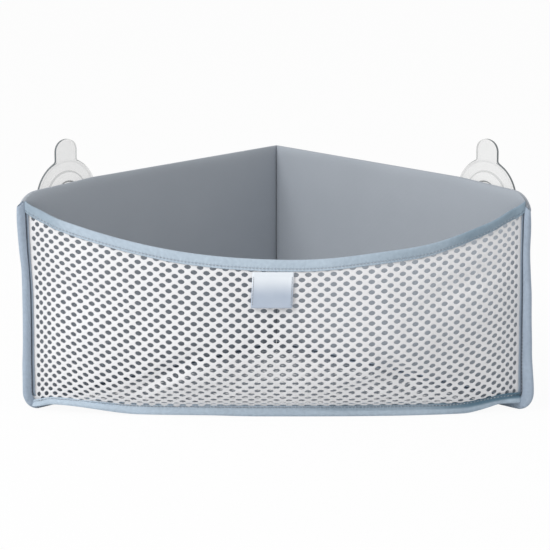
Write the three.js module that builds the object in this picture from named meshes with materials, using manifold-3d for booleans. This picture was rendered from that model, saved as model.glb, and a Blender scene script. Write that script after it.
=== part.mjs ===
// Corner bath toy organizer: two stiffened cloth walls that stand in the corner of a bath,
// a bellied mesh front and a mesh floor sewn to them with binding tape,
// and two tabbed suction cups whose studs turn in eyelets in the walls' outer covers.
// Millimetres, +Z up, +Y towards the corner, -Y towards the bather.
import * as THREE from 'three';
import { mergeVertices } from 'three/addons/utils/BufferGeometryUtils.js';
import Module from 'manifold-3d';

const wasm = await Module();
wasm.setup();

// Walls
const cornerAngle = THREE.MathUtils.degToRad(90); // between the two walls
const wallLength = 306; // inner back corner to the outer edge of the front binding
const wallHeight = 192; // floor to the walls' top edge
const clothThickness = 0.9; // lining and outer cover
const boardThickness = 2.4; // stiffener inside each wall
const topCornerRadius = 18;
const topEdgeFall = 4; // the top edge falls this far towards the front corner
const topFallRun = 75; // over this length
const bottomCornerRadius = 20; // outer edge of the binding
const clearance = 0.3; // between layers that are sewn or set together

// Binding tape
const tapeWidth = 10;
const tapeThickness = 0.8;
const bindingDrop = 13; // its upright stretch ends this far below the wall's top edge
const seamInset = 2; // cloth edges stop this far short of the tape's fold

// Front mesh
const meshThickness = 1.2;
const topEdgeDrop = 2; // its top edge meets the walls this far below the end of their tape
const topEdgeDip = 37; // how far the top edge dips in the middle
const topBulge = 38; // how far the front stands forward of the walls' edges
const bottomBulge = 22;
const bellySwell = 24; // more than the straight line between the two
const bellyPower = 0.7; // under 1 brings the belly low down
const topPlanPower = 2.2; // roundness of the front seen from above
const bottomPlanPower = 3.2;
const cornerRise = 16; // the bottom seam lifts into the corners
const cornerRisePower = 10;
const meshColumns = 17;
const meshRows = 7;
const holeAcross = 0.52; // share of the mesh cell that is open
const holeUp = 0.46;

// Floor mesh
const floorLevel = 7; // underside
const floorPitchAcross = 40;
const floorPitchDeep = 29;
const floorMargin = 9; // cloth left round the edge

// Label
const labelWidth = 34;
const labelHeight = 29;
const labelThickness = 1;
const labelShift = -2; // from the middle of the front

// Suction cups and their eyelets
const cupFromFront = 61; // behind the wall's front edge
const cupDrop = 15; // below the wall's top edge
const cupRadius = 33;
const cupSealWidth = 6;
const cupHollow = 1.5; // depth of the vacuum side
const cupRim = 1.8; // thickness at the rim
const bossRadius = 23;
const bossHeight = 3;
const bossCrownRadius = 12;
const collarGap = 1.6; // groove round the crown
const collarDepth = 1.2;
const collarStep = 0.4; // boss outside the groove, below the crown
const studRadius = 3.7;
const studHeadRadius = 5.5;
const studHeadThickness = 1.2;
const tabReach = 50.5; // cup centre to the tab's tip
const tabWidth = 24.5;
const tabTip = 9.7; // height of its rounded end
const tabThickness = 1.4;
const tabRootFlare = 3;
const eyeletRadius = 8;
const eyeletBarrel = 0.8; // wall of the barrel
const eyeletFlange = 0.8;

// Smoothness
const arcSegments = 8;
const turnSegments = 32;

// Layers of a wall, measured outwards from the lining's inner face
const liningOuter = clothThickness;
const boardInner = liningOuter + clearance;
const boardOuter = boardInner + boardThickness;
const coverInner = boardOuter + clearance;
const coverOuter = coverInner + clothThickness;
const tongueOuter = boardInner + clothThickness; // the cover's edge, flattened into the seam
const meshEdgeMiddle = -clearance - meshThickness / 2; // mesh edge sewn on the lining
const slotInner = meshEdgeMiddle - meshThickness / 2 - clearance;
const slotOuter = tongueOuter + clearance;
const bindingInner = slotInner - tapeThickness;
const bindingOuter = slotOuter + tapeThickness;

// Edges of a wall, along it and up it
const wallBindingTop = wallHeight - bindingDrop;
const topEdgeCorner = wallBindingTop - topEdgeDrop;
const seamAlong = wallLength - tapeWidth;
const padFront = seamAlong - 2 * clearance;
const padBottom = tapeWidth + 2 * clearance;
const clothFront = wallLength - seamInset;
const clothBottom = seamInset;
const clothTop = wallBindingTop - tapeThickness - clearance;
const pastCorner = -12; // walls are drawn past the back corner, then mitred
const cupAlong = wallLength - cupFromFront;
const cupHeight = wallHeight - cupDrop;
const slotRadius = bottomCornerRadius - tapeThickness;

// Places in plan
const sinHalf = Math.sin(cornerAngle / 2);
const cosHalf = Math.cos(cornerAngle / 2);
const bendAlong = seamAlong - 1.5 * clearance - meshThickness / 2; // where the mesh turns off the wall
const halfFront = bendAlong * sinHalf + meshEdgeMiddle * cosHalf;
const seamBack = bendAlong * cosHalf - meshEdgeMiddle * sinHalf; // corner to the front seam, in depth
const halfThickness = meshThickness / 2;
const frontSlot = halfThickness + clearance;
const frontTape = frontSlot + tapeThickness;

const bottomRise = (across) => cornerRise * Math.abs(across) ** cornerRisePower;
const topEdge = (across) => topEdgeCorner - topEdgeDip * (1 - across * across);

// How far the mesh stands forward at a height: straight in the bottom seam, bellied above it
function bulge(across, height) {
  const seam = bottomRise(across) + tapeWidth + 2 * clearance;
  const climb = THREE.MathUtils.clamp((height - seam) / (topEdge(across) - seam), 0, 1);
  const low = climb ** bellyPower;
  return bottomBulge + (topBulge - bottomBulge) * climb + bellySwell * 4 * low * (1 - low);
}

function planPower(height) {
  const climb = THREE.MathUtils.clamp(height / topEdgeCorner, 0, 1);
  return THREE.MathUtils.lerp(bottomPlanPower, topPlanPower, climb);
}

let deepestBulge = 0;
for (let height = 0; height < topEdgeCorner - topEdgeDip; height += 1) {
  deepestBulge = Math.max(deepestBulge, bulge(0, height));
}

// The part's origin is under the middle of its box, so the back corner lies behind it
const frontReach = seamBack + deepestBulge + halfThickness;
const backReach = coverOuter / sinHalf;
const cornerY = (frontReach - backReach) / 2;
const seamY = cornerY - seamBack;

// Middle surface of the front: across from -1 at the left seam to 1 at the right
function frontPoint(across, height) {
  const forward = bulge(across, height) * (1 - Math.abs(across) ** planPower(height));
  return new THREE.Vector3(across * halfFront, seamY - forward, height);
}

function frontNormal(across, height) {
  const step = 1e-3;
  const side = across > 0 ? -step : step;
  const along = frontPoint(across + side, height).sub(frontPoint(across, height)).multiplyScalar(Math.sign(side));
  const upward = frontPoint(across, height + step).sub(frontPoint(across, height));
  return along.cross(upward).normalize();
}

const onFront = (across, height, out) => frontPoint(across, height).addScaledVector(frontNormal(across, height), out);

// Solids and geometries
function toSolid(geometry) {
  const bare = geometry.clone();
  bare.deleteAttribute('normal');
  bare.deleteAttribute('uv');
  const merged = mergeVertices(bare, 1e-4);
  return new wasm.Manifold(new wasm.Mesh({
    numProp: 3,
    vertProperties: merged.attributes.position.array,
    triVerts: new Uint32Array(merged.index.array),
  }));
}

function toGeometry(solid) {
  const mesh = solid.getMesh();
  const geometry = new THREE.BufferGeometry();
  geometry.setAttribute('position', new THREE.BufferAttribute(new Float32Array(mesh.vertProperties), 3));
  geometry.setIndex(new THREE.BufferAttribute(new Uint32Array(mesh.triVerts), 1));
  return geometry;
}

const join = (...parts) => parts.map(toSolid).reduce((sum, next) => sum.add(next));
const cut = (body, ...tools) => tools.map(toSolid).reduce((left, next) => left.subtract(next), body);

// A plate in a wall's plane: outline in along and up, between two depths from the lining's inner face
function plate(outline, near, far, side) {
  const geometry = new THREE.ExtrudeGeometry(outline, {
    depth: far - near,
    bevelEnabled: false,
    curveSegments: arcSegments,
  });
  geometry.rotateX(Math.PI / 2);
  geometry.translate(0, side > 0 ? far : -near, 0);
  return geometry;
}

// A round piece on a cup's axis, from a profile of radius and depth
function turned(profile, side) {
  const geometry = new THREE.LatheGeometry(profile.map(([r, depth]) => new THREE.Vector2(r, depth)), turnSegments);
  if (side < 0) geometry.rotateX(Math.PI);
  geometry.translate(cupAlong, 0, cupHeight);
  return geometry;
}

// Everything past the plane where the two walls meet
function mitre(side) {
  const near = bindingInner - 4;
  const far = coverOuter + 4;
  const start = (depth) => (clearance / 2 - depth * cosHalf) / sinHalf;
  const plan = new THREE.Shape([
    new THREE.Vector2(start(near), side * near),
    new THREE.Vector2(start(far), side * far),
    new THREE.Vector2(4 * pastCorner, side * far),
    new THREE.Vector2(4 * pastCorner, side * near),
  ]);
  const geometry = new THREE.ExtrudeGeometry(plan, { depth: 2 * wallHeight, bevelEnabled: false });
  return geometry.translate(0, 0, -wallHeight / 2);
}

// A wall's outline, with the front corners rounded at the top and at the bottom
function wallOutline(back, front, bottom, top, topRadius, bottomRadius, fall = 0) {
  const slope = Math.atan2(fall, topFallRun);
  const fallStart = padFront - topFallRun;
  const rounding = top - (topRadius + (front - topRadius - fallStart) * Math.sin(slope)) / Math.cos(slope);
  const outline = new THREE.Shape();
  outline.moveTo(back, bottom);
  outline.lineTo(front - bottomRadius, bottom);
  outline.absarc(front - bottomRadius, bottom + bottomRadius, bottomRadius, -Math.PI / 2, 0, false);
  outline.lineTo(front, rounding);
  outline.absarc(front - topRadius, rounding, topRadius, 0, Math.PI / 2 - slope, false);
  if (fall) outline.lineTo(fallStart, top);
  outline.lineTo(back, top);
  outline.closePath();
  return outline;
}

// The flat edge of the wall's cloth that goes into the binding
const padCornerRadius = bottomCornerRadius - padBottom + clearance;
const clothEdge = () => wallOutline(pastCorner, clothFront, clothBottom, clothTop, clearance,
  bottomCornerRadius - seamInset);
const padEdge = (inset) => wallOutline(inset ? 4 * pastCorner : pastCorner, padFront - inset, padBottom + inset,
  wallHeight - inset, topCornerRadius - inset, padCornerRadius - inset, topEdgeFall);

function wallLining(side) {
  const body = join(plate(padEdge(0), 0, liningOuter, side), plate(clothEdge(), 0, liningOuter, side));
  return toGeometry(cut(body, mitre(side)));
}

// A shallow tray over the board, with its edge flattened into the seam and a hole for the eyelet
function wallCover(side) {
  const hollow = plate(padEdge(clothThickness), liningOuter, coverInner, side);
  const hole = turned([[0, coverInner - 1], [eyeletHole, coverInner - 1], [eyeletHole, coverOuter + 1],
    [0, coverOuter + 1]], side);
  const body = join(plate(padEdge(0), boardInner, coverOuter, side), plate(clothEdge(), boardInner, tongueOuter, side));
  return toGeometry(cut(body, hollow, hole, mitre(side)));
}

// Stiffener, cut away round the eyelet and the head of the stud
function wallBoard(side) {
  const inset = clothThickness + clearance;
  const outline = wallOutline(coverOuter, padFront - inset, padBottom + inset, wallHeight - inset,
    topCornerRadius - inset, padCornerRadius - inset, topEdgeFall);
  const hole = new THREE.Path();
  hole.absarc(cupAlong, cupHeight, eyeletRadius + 2 * clearance, 0, 2 * Math.PI, true);
  outline.holes.push(hole);
  return plate(outline, boardInner, boardOuter, side);
}

// Tape folded round the wall's front and bottom edges, as a band with a slot for the cloth edges
function wallBinding(side) {
  const band = wallOutline(pastCorner, wallLength, 0, wallBindingTop, clearance, bottomCornerRadius);
  const inside = wallOutline(4 * pastCorner, seamAlong, tapeWidth, 2 * wallHeight, clearance,
    bottomCornerRadius - tapeWidth);
  const slot = wallOutline(4 * pastCorner, wallLength - tapeThickness, tapeThickness, wallBindingTop - tapeThickness,
    clearance, slotRadius);
  const body = toSolid(plate(band, bindingInner, bindingOuter, side));
  const reach = bindingOuter - bindingInner;
  return toGeometry(cut(body,
    plate(inside, bindingInner - reach, bindingOuter + reach, side),
    plate(slot, slotInner, slotOuter, side),
    mitre(side)));
}

// The columns of the mesh between two ends, so that what is sewn to it bends where it bends
function columnsWithin(end) {
  const run = [-end];
  for (let column = 1; column < meshColumns; column += 1) {
    const across = 2 * column / meshColumns - 1;
    if (Math.abs(across) < end - clearance / halfFront) run.push(across);
  }
  return [...run, end];
}

// A closed ring at each column, joined along the run and capped; cells split as the mesh's own do
function loft(profile, place, end) {
  const count = profile.length;
  const positions = [];
  const triangles = [];
  const run = columnsWithin(end);
  for (const across of run) {
    for (const [out, up] of profile) positions.push(...place(across, out, up).toArray());
  }
  const heightOf = (index) => positions[3 * index + 2];
  for (let k = 0; k + 1 < run.length; k += 1) {
    for (let p = 0; p < count; p += 1) {
      const here = k * count + p;
      const beside = k * count + ((p + 1) % count);
      const rises = heightOf(beside) > heightOf(here);
      if (rises === run[k] + run[k + 1] > -1e-9) {
        triangles.push(here, beside, beside + count, here, beside + count, here + count);
      } else triangles.push(here, beside, here + count, beside, beside + count, here + count);
    }
  }
  const last = (run.length - 1) * count;
  const outline = profile.map(([out, up]) => new THREE.Vector2(out, up));
  for (const [a, b, c] of THREE.ShapeUtils.triangulateShape(outline, [])) {
    triangles.push(c, b, a, last + a, last + b, last + c);
  }
  const geometry = new THREE.BufferGeometry();
  geometry.setAttribute('position', new THREE.Float32BufferAttribute(positions, 3));
  geometry.setIndex(triangles);
  return toSolid(geometry).volume() < 0 ? flipped(geometry) : geometry;
}

function flipped(geometry) {
  const index = geometry.index.array;
  for (let t = 0; t < index.length; t += 3) [index[t], index[t + 1]] = [index[t + 1], index[t]];
  return geometry;
}

// Folded tape in section: two legs and a rounded fold, as points of outwards and distance from the fold
const foldedTape = [
  [-frontTape, tapeWidth], [-frontTape, tapeThickness], [-frontSlot, 0], [frontSlot, 0],
  [frontTape, tapeThickness], [frontTape, tapeWidth], [frontSlot, tapeWidth],
  [frontSlot, tapeThickness], [-frontSlot, tapeThickness], [-frontSlot, tapeWidth],
];

// The front tapes run out to the walls' tapes, as far as their thickness lets them
function tapeEnd(height) {
  let across = 1;
  const depth = () => {
    const point = frontPoint(across, height(across));
    return point.x * cosHalf + (point.y - cornerY) * sinHalf;
  };
  while (depth() > bindingInner - frontTape - clearance) across -= 0.001;
  return across;
}

function frontTopBinding() {
  const end = tapeEnd(topEdge);
  return loft(foldedTape, (across, out, down) => onFront(across, topEdge(across) - down, out), end);
}

function frontBottomBinding() {
  const end = tapeEnd(bottomRise);
  return loft(foldedTape, (across, out, up) => onFront(across, bottomRise(across) + up, out), end);
}

// A sheet from faces on its outer side: the inner side is added, and every open edge is closed between them
function thickSheet(outer, inner, faces) {
  const count = outer.length;
  const triangles = [];
  const edges = new Set();
  for (const [a, b, c] of faces) {
    triangles.push(a, b, c, count + a, count + c, count + b);
    for (const [from, to] of [[a, b], [b, c], [c, a]]) edges.add(`${from},${to}`);
  }
  for (const edge of edges) {
    const [from, to] = edge.split(',').map(Number);
    if (edges.has(`${to},${from}`)) continue;
    triangles.push(to, from, count + from, to, count + from, count + to);
  }
  const geometry = new THREE.BufferGeometry();
  const positions = [...outer, ...inner].flatMap((point) => point.toArray());
  geometry.setAttribute('position', new THREE.Float32BufferAttribute(positions, 3));
  geometry.setIndex(triangles);
  return geometry;
}

// A point of a wall's plane in the part's own frame
function onWall(side, along, depth, height) {
  return new THREE.Vector3(
    side * (along * sinHalf + depth * cosHalf),
    cornerY - along * cosHalf + depth * sinHalf,
    height,
  );
}

// Mesh front: plain hems in the tapes, side edges turned onto the walls, and staggered six-sided holes between
function frontMesh() {
  const outer = [];
  const inner = [];
  const faces = [];
  const lattice = new Map();
  const addPoint = (outside, inside) => {
    outer.push(outside);
    inner.push(inside);
    return outer.length - 1;
  };

  // Heights up one column: hem edge, seam, then the open mesh, seam and hem edge again
  const lowHem = (across) => [bottomRise(across) + tapeThickness + clearance, bottomRise(across) + tapeWidth + 2 * clearance];
  const highHem = (across) => [topEdge(across) - tapeWidth - clearance, topEdge(across) - tapeThickness - clearance];
  const openHeight = (across, row) => {
    const share = row / (2 * meshRows);
    return THREE.MathUtils.lerp(lowHem(across)[1], highHem(across)[0], share);
  };
  const heights = (across) => {
    const open = [];
    for (let row = 2; row < 2 * meshRows; row += 2) open.push(openHeight(across, row));
    return [...lowHem(across), ...open, ...highHem(across)];
  };

  // Where the mesh turns off the wall, its two faces meet on the mitre of the turn
  const turnPoint = (side, height, out) => {
    const flat = new THREE.Vector3(-side * cosHalf, -sinHalf, 0);
    const middle = flat.add(frontNormal(side, height)).normalize();
    const stretch = 1 / Math.max(0.5, middle.dot(frontNormal(side, height)));
    return onWall(side, bendAlong, meshEdgeMiddle, height).addScaledVector(middle, out * stretch);
  };
  const pointAt = (across, height) => (Math.abs(across) === 1
    ? addPoint(turnPoint(across, height, halfThickness), turnPoint(across, height, -halfThickness))
    : addPoint(onFront(across, height, halfThickness), onFront(across, height, -halfThickness)));

  const key = (column, row) => `${column},${row}`;
  const acrossOf = (column) => column / meshColumns - 1;
  const columns = [];
  for (let column = 0; column <= 2 * meshColumns; column += 2) {
    const across = acrossOf(column);
    const made = heights(across).map((height) => pointAt(across, height));
    made.slice(1, -1).forEach((point, index) => lattice.set(key(column, 2 * index), point));
    columns.push(made);
  }
  for (const side of [-1, 1]) {
    const tip = clothFront - clearance;
    const made = heights(side).map((height) => addPoint(
      onWall(side, tip, meshEdgeMiddle - halfThickness, height),
      onWall(side, tip, meshEdgeMiddle + halfThickness, height),
    ));
    if (side < 0) columns.unshift(made);
    else columns.push(made);
  }
  for (let column = 1; column < 2 * meshColumns; column += 2) {
    for (let row = 1; row < 2 * meshRows; row += 2) {
      lattice.set(key(column, row), pointAt(acrossOf(column), openHeight(acrossOf(column), row)));
    }
  }

  // Plain quads: the turned edges at the sides, and the hems
  const quad = (left, right, row, onRight) => {
    const [a, b, c, d] = [left[row], right[row], right[row + 1], left[row + 1]];
    if (onRight) faces.push([a, b, c], [a, c, d]);
    else faces.push([a, b, d], [b, c, d]);
  };
  for (let c = 0; c + 1 < columns.length; c += 1) {
    const top = columns[c].length - 2;
    const plain = c === 0 || c === columns.length - 2;
    for (let row = 0; row <= top; row += 1) {
      if (plain || row === 0 || row === top) quad(columns[c], columns[c + 1], row, 2 * c >= columns.length - 2);
    }
  }

  // The open mesh: a holed diamond at each staggered centre, and plain halves along the hems
  const holeRing = [0, 1, 2, 3, 4, 5].map((k) => [Math.cos(k * Math.PI / 3), Math.sin(k * Math.PI / 3)]);
  for (let column = 0; column <= 2 * meshColumns; column += 1) {
    for (let row = 0; row <= 2 * meshRows; row += 1) {
      if ((column + row) % 2 === 0) continue;
      const right = lattice.get(key(column + 1, row));
      const top = lattice.get(key(column, row + 1));
      const left = lattice.get(key(column - 1, row));
      const bottom = lattice.get(key(column, row - 1));
      const corners = [right, top, left, bottom].filter((point) => point !== undefined);
      if (corners.length === 3) {
        faces.push(corners);
        continue;
      }
      const hole = holeRing.map(([dx, dy]) => {
        const across = acrossOf(column + dx * holeAcross);
        return pointAt(across, openHeight(across, row + dy * holeUp));
      });
      faces.push(
        [right, top, hole[1]], [right, hole[1], hole[0]], [top, hole[2], hole[1]], [top, left, hole[2]],
        [left, hole[3], hole[2]], [left, bottom, hole[4]], [left, hole[4], hole[3]], [bottom, hole[5], hole[4]],
        [bottom, right, hole[5]], [right, hole[0], hole[5]],
      );
    }
  }
  return thickSheet(outer, inner, faces);
}

// Mesh floor, inside the tapes all round
function floorMesh() {
  const edge = -bindingInner + clearance; // from each wall
  const backEdge = cornerY - edge / sinHalf;
  const frontEdge = (across) => frontPoint(across, 0).y + frontTape + 2 * clearance;
  const wallEdge = (x) => backEdge - Math.abs(x) * cosHalf / sinHalf;
  const outline = new THREE.Shape();
  outline.moveTo(0, backEdge);
  let tip = 1;
  while (wallEdge(tip * halfFront) < frontEdge(tip)) tip -= 0.001;
  for (const across of columnsWithin(tip)) outline.lineTo(across * halfFront, frontEdge(across));
  outline.closePath();
  for (let row = 0; row * floorPitchDeep / 2 < 2 * seamBack; row += 1) {
    const y = backEdge - floorMargin - (row + 1) * floorPitchDeep / 2;
    for (let column = -meshColumns; column <= meshColumns; column += 1) {
      const x = (column + (row % 2) / 2) * floorPitchAcross;
      const halfHole = holeAcross * floorPitchAcross / 2;
      const tall = holeUp * floorPitchDeep / 2;
      const inside = y - tall - floorMargin > frontEdge(Math.min((Math.abs(x) + halfHole) / halfFront, 1))
        && y + tall + floorMargin < wallEdge(Math.abs(x) + halfHole);
      if (!inside) continue;
      const hole = new THREE.Path();
      for (let k = 0; k < 6; k += 1) {
        const turn = -k * Math.PI / 3;
        const corner = [x + halfHole * Math.cos(turn), y + tall * Math.sin(turn)];
        if (k) hole.lineTo(...corner);
        else hole.moveTo(...corner);
      }
      hole.closePath();
      outline.holes.push(hole);
    }
  }
  const geometry = new THREE.ExtrudeGeometry(outline, { depth: meshThickness, bevelEnabled: false });
  return geometry.translate(0, 0, floorLevel);
}

// Bare square label, sewn to the mesh just under the top tape
function label() {
  const cells = 6;
  const from = halfThickness + clearance;
  const outer = [];
  const inner = [];
  const faces = [];
  const top = topEdge(0) - tapeWidth - clearance;
  for (let row = 0; row <= cells; row += 1) {
    for (let column = 0; column <= cells; column += 1) {
      const across = (labelShift + (column / cells - 0.5) * labelWidth) / halfFront;
      const height = top - (1 - row / cells) * labelHeight;
      outer.push(onFront(across, height, from + labelThickness));
      inner.push(onFront(across, height, from));
      if (row === cells || column === cells) continue;
      const here = row * (cells + 1) + column;
      faces.push([here, here + 1, here + cells + 2], [here, here + cells + 2, here + cells + 1]);
    }
  }
  return thickSheet(outer, inner, faces);
}

// Eyelet: a barrel through the outer cover with a flange on each side of it
const eyeletBore = studRadius + clearance;
const eyeletOutside = eyeletBore + eyeletBarrel;
const eyeletHole = eyeletOutside + clearance;
const eyeletInner = coverInner - clearance - eyeletFlange;
const eyeletOuter = coverOuter + clearance + eyeletFlange;

function eyelet(side) {
  const profile = [
    [eyeletBore, eyeletInner], [eyeletRadius, eyeletInner], [eyeletRadius, eyeletInner + eyeletFlange],
    [eyeletOutside, eyeletInner + eyeletFlange], [eyeletOutside, eyeletOuter - eyeletFlange],
    [eyeletRadius, eyeletOuter - eyeletFlange], [eyeletRadius, eyeletOuter], [eyeletBore, eyeletOuter],
    [eyeletBore, eyeletInner],
  ];
  return turned(profile, side);
}

// Suction cup: headed stud, boss and sealing disc in one moulding, with a tab to peel it off
const studHeadOuter = eyeletInner - clearance;
const bossFace = eyeletOuter + clearance;
const discFace = bossFace + bossHeight;
const cupBack = discFace + cupRim;

function suctionCup(side) {
  const edge = cupRim / 4;
  const disc = turned([
    [0, studHeadOuter - studHeadThickness], [studHeadRadius - edge, studHeadOuter - studHeadThickness],
    [studHeadRadius, studHeadOuter - studHeadThickness + edge], [studHeadRadius, studHeadOuter],
    [studRadius, studHeadOuter], [studRadius, bossFace], [bossCrownRadius, bossFace],
    [bossCrownRadius, bossFace + collarDepth], [bossCrownRadius + collarGap, bossFace + collarDepth],
    [bossCrownRadius + collarGap, bossFace + collarStep], [bossRadius - edge, discFace - 2 * edge],
    [bossRadius, discFace], [cupRadius - edge, discFace], [cupRadius, discFace + edge],
    [cupRadius, cupBack - edge], [cupRadius - edge, cupBack], [cupRadius - cupSealWidth, cupBack],
    [bossCrownRadius, cupBack - cupHollow], [0, cupBack - cupHollow],
  ], side);
  const half = tabWidth / 2;
  const root = Math.sqrt(cupRadius ** 2 - (half + tabRootFlare) ** 2) - cupRim; // just inside the disc's edge
  const outline = new THREE.Shape();
  outline.moveTo(cupAlong - half - tabRootFlare, cupHeight + root);
  outline.lineTo(cupAlong + half + tabRootFlare, cupHeight + root);
  outline.quadraticCurveTo(cupAlong + half, cupHeight + root + cupRim, cupAlong + half, cupHeight + root + 2 * tabRootFlare);
  outline.lineTo(cupAlong + half, cupHeight + tabReach - tabTip);
  outline.absellipse(cupAlong, cupHeight + tabReach - tabTip, half, tabTip, 0, Math.PI, false, 0);
  outline.lineTo(cupAlong - half, cupHeight + root + 2 * tabRootFlare);
  outline.quadraticCurveTo(cupAlong - half, cupHeight + root + cupRim, cupAlong - half - tabRootFlare, cupHeight + root);
  const tabNear = cupBack - edge / 2 - tabThickness;
  return toGeometry(join(disc, plate(outline, tabNear, tabNear + tabThickness, side)));
}

// Finishes
const finish = (color, roughness) => ({ color, roughness, metalness: 0 });
const liningCloth = finish(0xabb3bc, 0.85);
const coverCloth = finish(0xa4acb5, 0.85);
const boardPlastic = finish(0xd8d8d4, 0.6);
const bindingTape = finish(0xa6b2bf, 0.8);
const whiteMesh = finish(0xf2f2f4, 0.75);
const labelVinyl = finish(0xc2ccd6, 0.5);
const eyeletPlastic = finish(0x8d949c, 0.4);
const clearVinyl = finish(0xe4e5e3, 0.25);

function piece(name, geometry, look) {
  const mesh = new THREE.Mesh(geometry, new THREE.MeshStandardMaterial(look));
  mesh.name = name;
  return mesh;
}

const organizer = new THREE.Group();
for (const [hand, side] of [['left', -1], ['right', 1]]) {
  const wall = new THREE.Group();
  wall.position.y = cornerY;
  wall.rotation.z = -Math.PI / 2 + side * cornerAngle / 2;
  wall.add(
    piece(`${hand}_wall_lining`, wallLining(side), liningCloth),
    piece(`${hand}_wall_board`, wallBoard(side), boardPlastic),
    piece(`${hand}_wall_cover`, wallCover(side), coverCloth),
    piece(`${hand}_wall_binding`, wallBinding(side), bindingTape),
    piece(`${hand}_eyelet`, eyelet(side), eyeletPlastic),
    piece(`${hand}_suction_cup`, suctionCup(side), clearVinyl),
  );
  organizer.add(wall);
}
organizer.add(
  piece('front_mesh', frontMesh(), whiteMesh),
  piece('front_top_binding', frontTopBinding(), bindingTape),
  piece('front_bottom_binding', frontBottomBinding(), bindingTape),
  piece('floor_mesh', floorMesh(), whiteMesh),
  piece('label', label(), labelVinyl),
);

export default organizer;
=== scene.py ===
import bisect
import math
import bmesh
import bpy
from mathutils import Matrix, Vector, noise


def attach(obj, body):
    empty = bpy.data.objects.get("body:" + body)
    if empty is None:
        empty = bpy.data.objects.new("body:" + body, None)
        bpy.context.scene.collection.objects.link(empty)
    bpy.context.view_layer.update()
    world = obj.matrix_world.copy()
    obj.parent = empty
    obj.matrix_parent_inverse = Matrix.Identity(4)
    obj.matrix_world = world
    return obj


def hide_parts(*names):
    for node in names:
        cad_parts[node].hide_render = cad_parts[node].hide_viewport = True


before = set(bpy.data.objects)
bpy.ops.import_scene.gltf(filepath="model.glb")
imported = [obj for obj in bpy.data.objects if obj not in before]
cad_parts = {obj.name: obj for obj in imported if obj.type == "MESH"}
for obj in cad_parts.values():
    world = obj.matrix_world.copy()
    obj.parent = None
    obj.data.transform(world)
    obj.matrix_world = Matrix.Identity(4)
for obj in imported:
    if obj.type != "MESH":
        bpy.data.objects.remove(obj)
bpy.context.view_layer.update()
print("frame loaded,", len(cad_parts), "solids")

# Shape of the bag in metres, as the solids have it
bag = {
    "corner": 0.12788,  # y of the inner back corner
    "seam": -0.08132,  # y where the mesh turns off the walls
    "halfFront": 0.20792,
    "turn": 0.29495,  # the same place, along a wall from the corner
    "turnDepth": -0.0009,
    "middle": 0.09,  # height at which the mesh's girth is taken
    "topCorner": 0.177,
    "topDip": 0.037,
    "topBulge": 0.038,
    "bottomBulge": 0.022,
    "swell": 0.024,
    "swellPower": 0.7,
    "topRound": 2.2,
    "bottomRound": 3.2,
    "cornerRise": 0.016,
    "cornerPower": 10,
    "tape": 0.010,
    "tapeClear": 0.0006,
    "sags": [(0.20, 0.22, 0.0014), (0.63, 0.20, 0.0039)],  # of the top edge, as (middle, width, depth)
    "endLift": {"left": (0.870, 0.985, 0.0028), "right": (0.860, 0.950, 0.0024)},  # of the same edge
    "leftLean": (0.0036, 0.095, 0.165),  # how far the left seam stands out, from which height to which
    "leanPower": 6,
    "twist": {"out": 0.0020, "over": (1.0, 3.0), "start": (0.60, 0.82), "end": (0.92, 0.99)},
    "bottomTall": 0.0104,
    "bottomLine": {  # the bottom tape's two edges rise in eased steps, as (from, to, rise)
        "left": {"fold": [(0.08, 0.30, 0.0009), (0.55, 0.89, 0.0054), (0.91, 0.99, -0.0025)],
                 "upper": [(0.58, 0.74, 0.0023), (0.92, 1.0, -0.0032)]},
        "right": {"fold": [(0.76, 0.95, 0.0068)], "upper": [(0.66, 0.96, 0.0055)]},
    },
}
diagonal = math.sqrt(0.5)


def within(value):  # held between 0 and 1
    return min(1, max(0, value))


def eased(value, start, end):
    t = within((value - start) / (end - start))
    return t * t * (3 - 2 * t)


def handOf(across):
    return "left" if across < 0 else "right"


def leftLean(height):
    out, low, high = bag["leftLean"]
    return out * eased(height, low, high)


def onWall(side, along, depth, height):
    return Vector((side * (along + depth) * diagonal, bag["corner"] - (along - depth) * diagonal, height))


def wallMatrix(side):  # along the wall, outwards and up
    return Matrix((
        (side * diagonal, side * diagonal, 0, 0),
        (-diagonal, diagonal, 0, bag["corner"]),
        (0, 0, 1, 0),
        (0, 0, 0, 1),
    ))


def bottomRise(across):
    return bag["cornerRise"] * abs(across) ** bag["cornerPower"]


def bottomLevel(across, edge):
    steps = bag["bottomLine"][handOf(across)][edge]
    return sum(rise * eased(abs(across), start, end) for start, end, rise in steps)


def bottomSeam(across):  # heights of the bottom tape's fold and upper edge
    return bottomLevel(across, "fold"), bag["bottomTall"] + bottomLevel(across, "upper")


def seamTwist(across, height):  # on the right the bottom seam's upper edge stands out
    twist = bag["twist"]
    low, high = bottomSeam(across)
    share = (height - low) / (high - low)
    out = twist["out"] * within(share) * (1 - eased(share, *twist["over"]))
    return out * eased(across, *twist["start"]) * (1 - eased(across, *twist["end"]))


def topEdge(across):
    sag = sum(depth * math.exp(-((across - middle) / width) ** 2) for middle, width, depth in bag["sags"])
    start, end, lift = bag["endLift"][handOf(across)]
    dip = bag["topDip"] * (1 - across * across)
    return bag["topCorner"] - dip - sag + lift * eased(abs(across), start, end)


def bulge(across, height):
    seam = bottomRise(across) + bag["tape"] + bag["tapeClear"]
    climb = within((height - seam) / (topEdge(across) - seam))
    low = climb ** bag["swellPower"]
    straight = bag["bottomBulge"] + (bag["topBulge"] - bag["bottomBulge"]) * climb
    return straight + bag["swell"] * 4 * low * (1 - low)


def frontPoint(across, height):
    climb = within(height / bag["topCorner"])
    power = bag["bottomRound"] + (bag["topRound"] - bag["bottomRound"]) * climb
    forward = bulge(across, height) * (1 - abs(across) ** power)
    lean = diagonal * leftLean(height) * max(0, -across) ** bag["leanPower"]
    return Vector((across * bag["halfFront"] - lean, bag["seam"] - forward - lean, height))


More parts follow.
